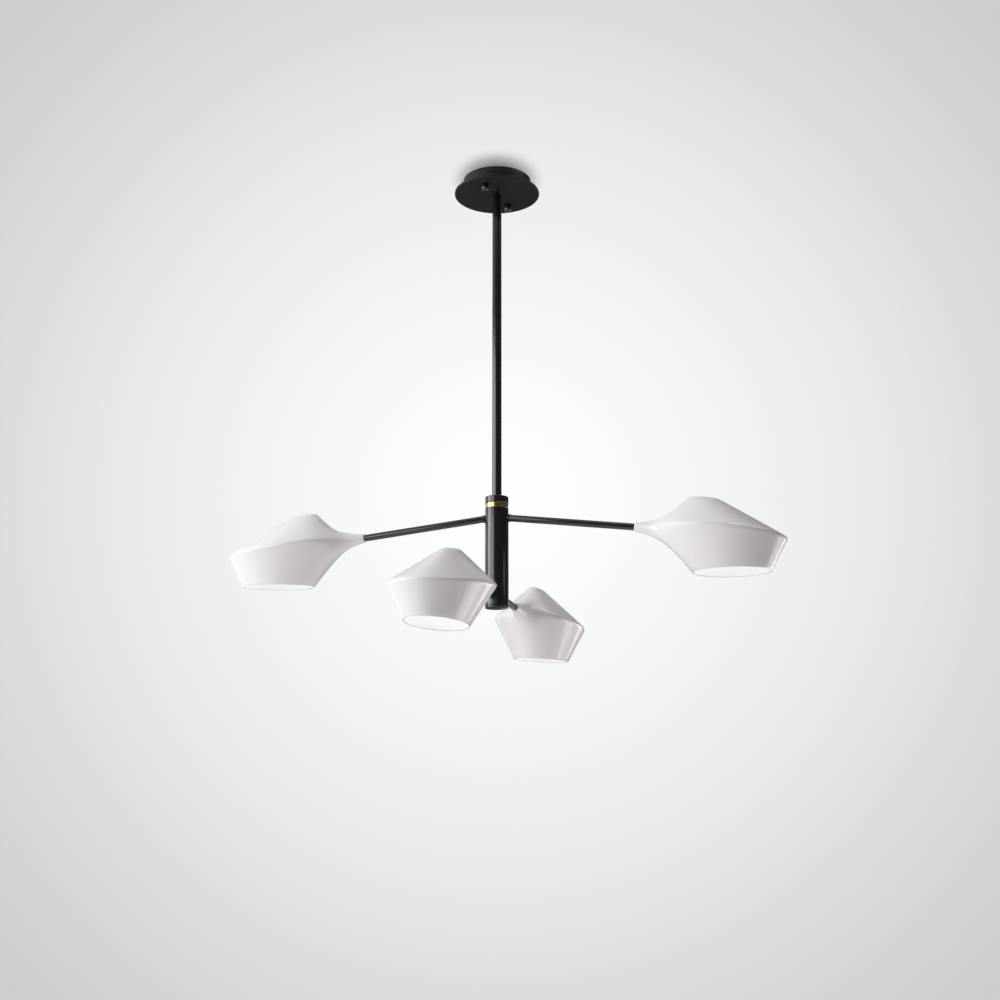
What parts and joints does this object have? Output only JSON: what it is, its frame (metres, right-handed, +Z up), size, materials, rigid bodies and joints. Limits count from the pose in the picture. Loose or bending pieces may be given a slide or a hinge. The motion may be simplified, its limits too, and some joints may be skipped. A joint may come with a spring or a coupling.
{
  "type": "multi arm chandelier",
  "caption": "Ceiling chandelier: a black rod and hub carry thin arms, each ending in a glossy white skewed double-cone shade that is open underneath.",
  "frame": {"origin": "middle of the ceiling bracket's top face, where the canopy meets the ceiling", "axes": "+Z up, out of the bracket into the ceiling; X along the long upper arms; the short lower arms lie near Y"},
  "size_m": [0.7624, 0.5276, 0.665],
  "materials": {
    "black_satin": "satin",
    "white_gloss": "gloss",
    "brass": "polished",
    "zinc_steel": "zinc plated",
    "holder_ceramic": "matte",
    "bulb_frosted": "frosted",
    "terminal_plastic": "matte",
    "cable_pvc": "matte"
  },
  "bodies": {
    "canopy": {"ceiling_bracket": "zinc_steel", "bracket_stud_1": "zinc_steel", "bracket_stud_2": "zinc_steel", "canopy_drum": "black_satin", "canopy_plate": "black_satin", "cap_nut_1": "black_satin", "cap_nut_2": "black_satin", "terminal_block": "terminal_plastic", "earth_screw": "brass", "mains_cable": "cable_pvc"},
    "fixture": {"downrod": "black_satin", "hanging_washer": "zinc_steel", "hanging_nut": "zinc_steel", "hub_lock_nut": "zinc_steel", "hub_cap": "black_satin", "brass_ring": "brass", "hub_tube": "black_satin", "hub_bottom_cap": "black_satin", "bottom_cap_screw": "black_satin", "wire_splice": "terminal_plastic", "arm_right": "black_satin", "arm_collar_right": "black_satin", "arm_lock_nut_right": "zinc_steel", "nipple_right": "zinc_steel", "cone_nut_right": "zinc_steel", "lampholder_right": "holder_ceramic", "bulb_right": "bulb_frosted", "wire_right": "cable_pvc", "arm_left": "black_satin", "arm_collar_left": "black_satin", "arm_lock_nut_left": "zinc_steel", "nipple_left": "zinc_steel", "cone_nut_left": "zinc_steel", "lampholder_left": "holder_ceramic", "bulb_left": "bulb_frosted", "wire_left": "cable_pvc", "arm_front": "black_satin", "arm_collar_front": "black_satin", "arm_lock_nut_front": "zinc_steel", "nipple_front": "zinc_steel", "cone_nut_front": "zinc_steel", "lampholder_front": "holder_ceramic", "bulb_front": "bulb_frosted", "wire_front": "cable_pvc", "arm_back": "black_satin", "arm_collar_back": "black_satin", "arm_lock_nut_back": "zinc_steel", "nipple_back": "zinc_steel", "cone_nut_back": "zinc_steel", "lampholder_back": "holder_ceramic", "bulb_back": "bulb_frosted", "wire_back": "cable_pvc"},
    "shade_right": {"shade_right": "white_gloss"},
    "shade_left": {"shade_left": "white_gloss"},
    "shade_front": {"shade_front": "white_gloss"},
    "shade_back": {"shade_back": "white_gloss"}
  },
  "joints": [
    {"name": "rod_swivel", "type": "hinge", "parent": "canopy", "child": "fixture", "pos_m": [0, 0, -0.0182], "axis": [0, 0, 1], "range_deg": [-170, 170]},
    {"name": "right_shade_turn", "type": "hinge", "parent": "fixture", "child": "shade_right", "pos_m": [0.18648, 0, -0.51459], "axis": [0.9919, 0, -0.1271], "range_deg": [-180, 180]},
    {"name": "left_shade_turn", "type": "hinge", "parent": "fixture", "child": "shade_left", "pos_m": [-0.18695, -0.00294, -0.51035], "axis": [-0.9944, -0.0156, -0.1045], "range_deg": [-180, 180]},
    {"name": "front_shade_turn", "type": "hinge", "parent": "fixture", "child": "shade_front", "pos_m": [-0.0073, -0.06941, -0.60227], "axis": [-0.1042, -0.9916, -0.0767], "range_deg": [-180, 180]},
    {"name": "back_shade_turn", "type": "hinge", "parent": "fixture", "child": "shade_back", "pos_m": [0.00633, 0.06951, -0.60227], "axis": [0.0904, 0.9929, -0.0767], "range_deg": [-180, 180]}
  ]
}
